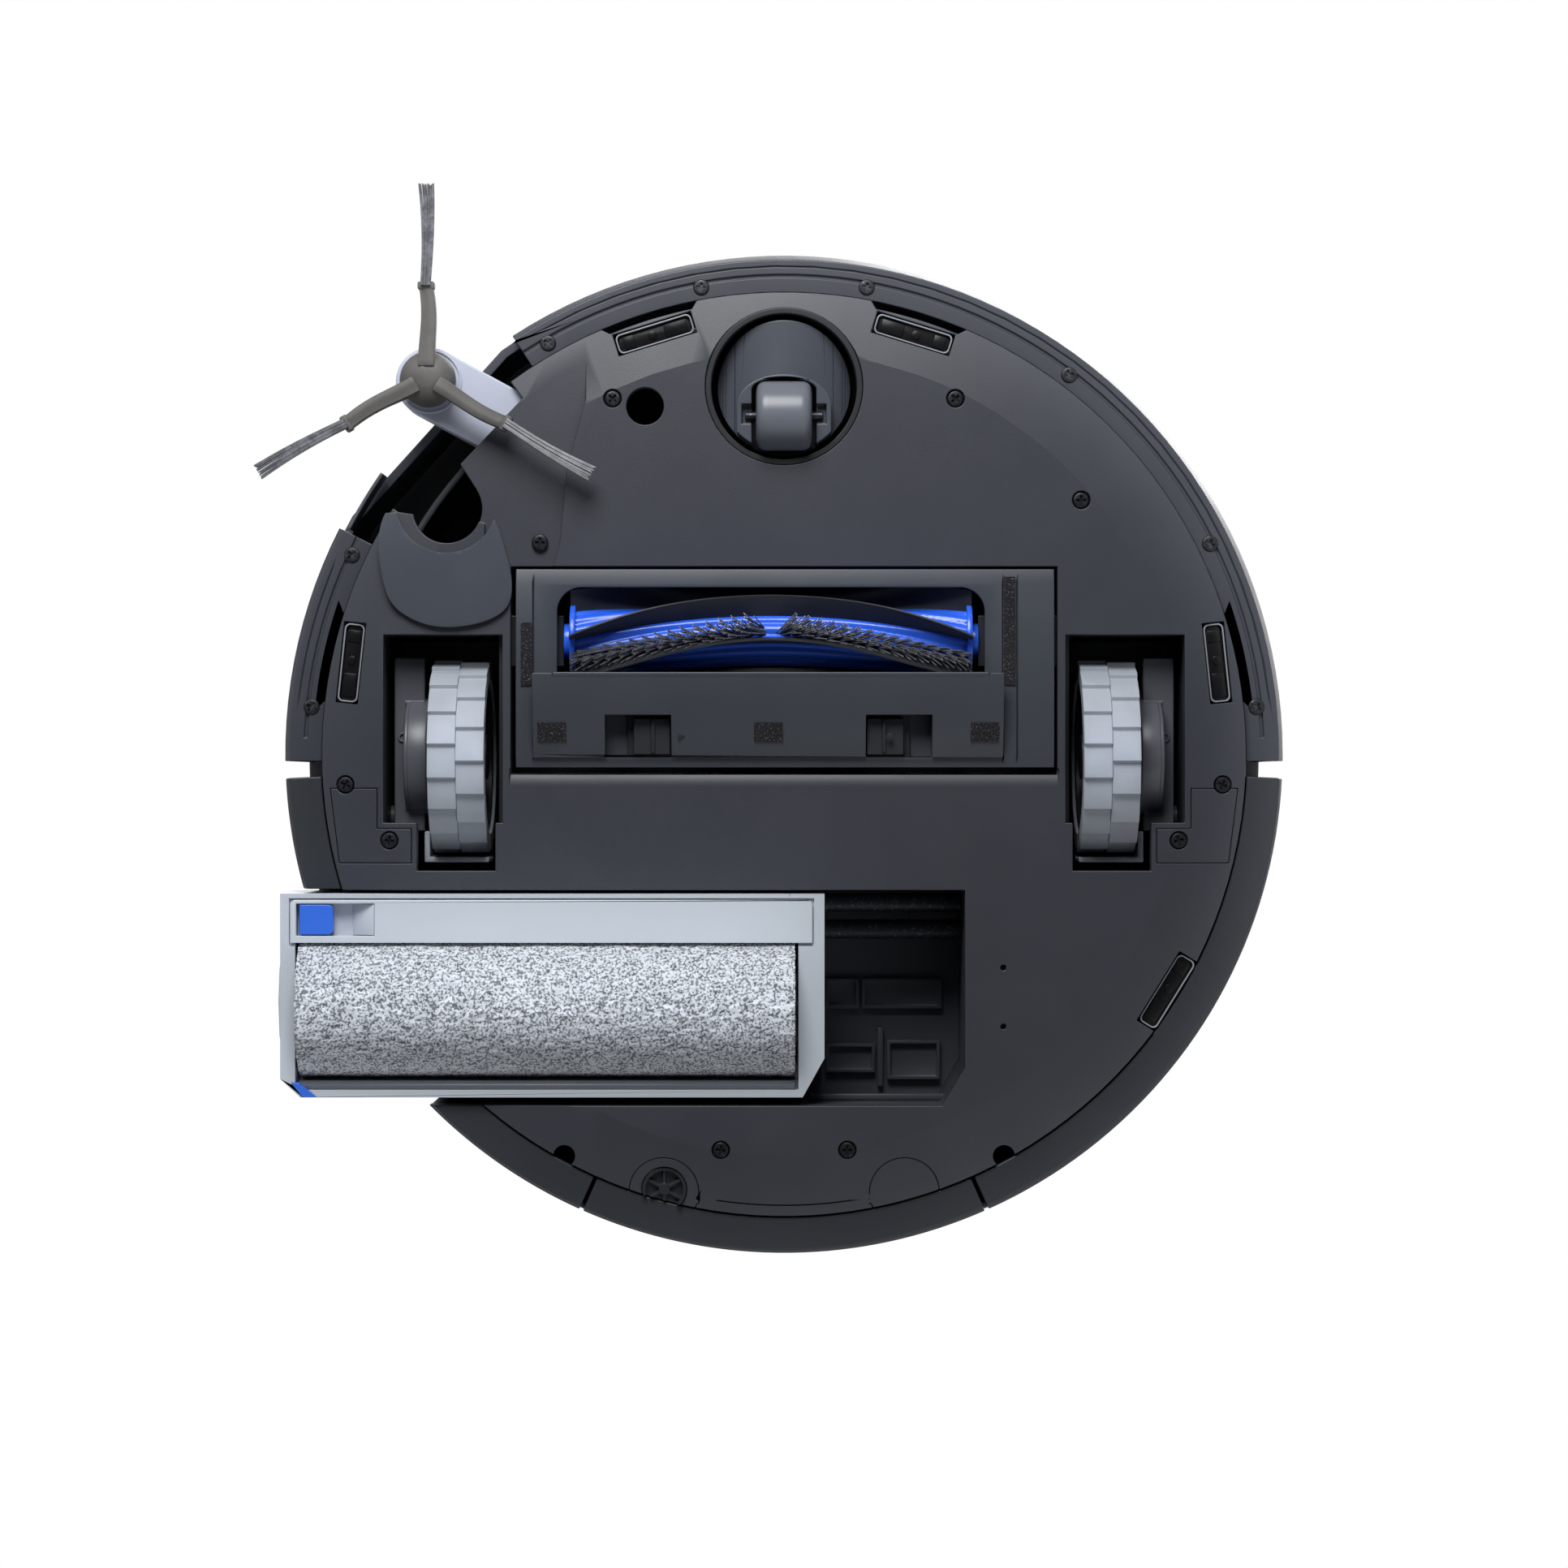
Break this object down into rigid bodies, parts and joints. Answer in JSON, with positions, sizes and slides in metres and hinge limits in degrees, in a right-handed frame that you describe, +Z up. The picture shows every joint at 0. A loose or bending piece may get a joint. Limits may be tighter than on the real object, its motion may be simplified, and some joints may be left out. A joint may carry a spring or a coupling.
{
  "type": "robot vacuum",
  "caption": "Low round robot vacuum with a roller mop, drive wheels on drop arms, a caster, a covered main brush, a swing-out side brush and a sprung bumper.",
  "frame": {"origin": "on the round body's axis, at the floor that the wheels, caster and mop roller rest on", "axes": "+Z up from the floor, -Y to the front (caster and bumper), +X across the body, away from the mop roller's open end"},
  "size_m": [0.3576, 0.3712, 0.098],
  "materials": {
    "base_plastic": "fine matt graphite plastic, lightly textured",
    "dark_plastic": "matt black plastic",
    "black_screws": "black coated steel",
    "sensor_glass": "clear sensor window",
    "sensor_black": "gloss black",
    "shell_plastic": "satin graphite plastic",
    "skirt_plastic": "satin graphite plastic",
    "black_steel": "blackened steel",
    "battery_wrap": "black battery sleeve",
    "board_green": "green circuit board",
    "tank_plastic": "smoked tank plastic",
    "bumper_plastic": "satin graphite plastic",
    "window_gloss": "gloss black sensor window",
    "drive_plastic": "matt black plastic",
    "grey_rubber": "light grey rubber",
    "grey_tyre": "light grey rubber with sawtooth lugs",
    "caster_gloss": "smooth black wheel",
    "brush_blue": "glossy blue plastic",
    "blade_rubber": "black rubber",
    "bristle_grey": "grey nylon bristles",
    "cover_plastic": "matt graphite plastic",
    "black_felt": "black velvet strip",
    "speckled_felt": "speckled felt pad",
    "latch_plastic": "satin black plastic",
    "arm_plastic": "pale lavender-grey plastic",
    "taupe_rubber": "taupe rubber",
    "mop_plastic": "light grey plastic",
    "mop_cover_plastic": "light grey plastic panel",
    "blue_plastic": "blue plastic",
    "mop_microfibre": "speckled white and grey microfibre",
    "lid_plastic": "satin graphite lid",
    "bin_plastic": "smoked plastic",
    "power_gloss": "satin button"
  },
  "bodies": {
    "chassis": {"base_plate": "base_plastic", "wheel_cover_left": "base_plastic", "wheel_cover_right": "base_plastic", "rear_cover_left": "base_plastic", "rear_cover_right": "base_plastic", "rear_port_grille": "dark_plastic", "base_screws": "black_screws", "cliff_windows": "sensor_glass", "cliff_holders": "sensor_black", "upper_shell": "shell_plastic", "wheel_tub_left": "dark_plastic", "wheel_tub_right": "dark_plastic", "skirt_left": "skirt_plastic", "skirt_right": "skirt_plastic", "skirt_rear": "skirt_plastic", "skirt_rear_left": "skirt_plastic", "caster_cup": "dark_plastic", "suction_tunnel": "dark_plastic", "mop_bay_liner": "dark_plastic", "mop_guide_rods": "black_steel", "battery_pack": "battery_wrap", "main_board": "board_green", "blower": "dark_plastic", "water_tank": "tank_plastic", "arm_motor": "dark_plastic"},
    "bumper": {"bumper_shell": "bumper_plastic", "front_window": "window_gloss", "bumper_screws": "black_screws"},
    "wheel_arm_left": {"drive_unit_left": "drive_plastic", "wheel_guard_left": "grey_rubber"},
    "wheel_arm_right": {"drive_unit_right": "drive_plastic", "wheel_guard_right": "grey_rubber"},
    "wheel_left": {"tyre_left": "grey_tyre", "wheel_rim_left": "dark_plastic"},
    "wheel_right": {"tyre_right": "grey_tyre", "wheel_rim_right": "dark_plastic"},
    "caster": {"caster_swivel": "dark_plastic", "caster_axle": "black_steel"},
    "caster_roller": {"caster_wheel": "caster_gloss"},
    "main_brush": {"brush_core": "brush_blue", "brush_blades": "blade_rubber", "brush_bristles": "bristle_grey"},
    "brush_frame": {"brush_cover": "cover_plastic", "velvet_strips": "black_felt", "felt_pads": "speckled_felt"},
    "left_latch": {"latch_left": "latch_plastic"},
    "right_latch": {"latch_right": "latch_plastic"},
    "brush_arm": {"arm_housing": "arm_plastic", "side_brush_motor": "dark_plastic"},
    "side_brush": {"side_brush_hub": "taupe_rubber", "side_brush_bristles": "bristle_grey"},
    "mop_module": {"mop_housing": "mop_plastic", "mop_cover": "mop_cover_plastic", "mop_corner_tab": "blue_plastic"},
    "mop_roller": {"mop_core": "dark_plastic", "mop_fabric": "mop_microfibre"},
    "mop_release": {"mop_button": "blue_plastic"},
    "lid": {"top_lid": "lid_plastic"},
    "dust_box": {"dust_bin": "bin_plastic"},
    "power_key": {"power_button": "power_gloss"}
  },
  "joints": [
    {"name": "bumper_press", "type": "slide", "parent": "chassis", "child": "bumper", "axis": [0, 1, 0], "range_m": [0, 0.004], "stiffness_N_per_m": 400, "springref_m": -0.004},
    {"name": "wheel_drop_left", "type": "hinge", "parent": "chassis", "child": "wheel_arm_left", "pos_m": [-0.132, 0.022, 0.044], "axis": [1, 0, 0], "range_deg": [0, 15], "stiffness_Nm_per_rad": 0.25, "springref_deg": 15.01},
    {"name": "wheel_drop_right", "type": "hinge", "parent": "chassis", "child": "wheel_arm_right", "pos_m": [0.132, 0.022, 0.044], "axis": [1, 0, 0], "range_deg": [0, 15], "stiffness_Nm_per_rad": 0.25, "springref_deg": 15.01},
    {"name": "wheel_roll_left", "type": "hinge", "parent": "wheel_arm_left", "child": "wheel_left", "pos_m": [-0.1134, 0.0008, 0.034], "axis": [1, 0, 0], "continuous": true},
    {"name": "wheel_roll_right", "type": "hinge", "parent": "wheel_arm_right", "child": "wheel_right", "pos_m": [0.1134, 0.0008, 0.034], "axis": [1, 0, 0], "continuous": true},
    {"name": "caster_swivel_turn", "type": "hinge", "parent": "chassis", "child": "caster", "pos_m": [0, -0.1279, 0.036], "axis": [0, 0, 1], "continuous": true},
    {"name": "caster_roll", "type": "hinge", "parent": "caster", "child": "caster_roller", "pos_m": [0, -0.1175, 0.012], "axis": [1, 0, 0], "continuous": true},
    {"name": "main_brush_spin", "type": "hinge", "parent": "chassis", "child": "main_brush", "pos_m": [-0.0045, -0.0395, 0.0215], "axis": [1, 0, 0], "continuous": true},
    {"name": "brush_cover_lift", "type": "slide", "parent": "chassis", "child": "brush_frame", "axis": [0, 0, -1], "range_m": [0, 0.03]},
    {"name": "latch_left_slide", "type": "slide", "parent": "brush_frame", "child": "left_latch", "axis": [-1, 0, 0], "range_m": [0, 0.008]},
    {"name": "latch_right_slide", "type": "slide", "parent": "brush_frame", "child": "right_latch", "axis": [1, 0, 0], "range_m": [0, 0.008]},
    {"name": "brush_arm_swing", "type": "hinge", "parent": "chassis", "child": "brush_arm", "pos_m": [-0.0906, -0.1121, 0.027], "axis": [0, 0, 1], "range_deg": [-73.7, 0]},
    {"name": "side_brush_spin", "type": "hinge", "parent": "brush_arm", "child": "side_brush", "pos_m": [-0.1237, -0.1301, 0.012], "axis": [0, 0, 1], "continuous": true},
    {"name": "mop_slide", "type": "slide", "parent": "chassis", "child": "mop_module", "axis": [1, 0, 0], "range_m": [0, 0.046]},
    {"name": "mop_roller_spin", "type": "hinge", "parent": "mop_module", "child": "mop_roller", "pos_m": [-0.0825, 0.0884, 0.0245], "axis": [1, 0, 0], "continuous": true},
    {"name": "mop_release_slide", "type": "slide", "parent": "mop_module", "child": "mop_release", "axis": [1, 0, 0], "range_m": [0, 0.006], "stiffness_N_per_m": 150, "springref_m": -0.003},
    {"name": "lid_lift", "type": "slide", "parent": "chassis", "child": "lid", "axis": [0, 0, 1], "range_m": [0, 0.06]},
    {"name": "dust_bin_lift", "type": "slide", "parent": "chassis", "child": "dust_box", "axis": [0, 0, 1], "range_m": [0, 0.036]},
    {"name": "power_press", "type": "slide", "parent": "chassis", "child": "power_key", "axis": [0, 0, -1], "range_m": [0, 0.0015], "stiffness_N_per_m": 600, "springref_m": -0.001}
  ],
  "couplings": [
    {"joint": "dust_bin_lift", "follows": "lid_lift", "ratio": 0.6}
  ]
}
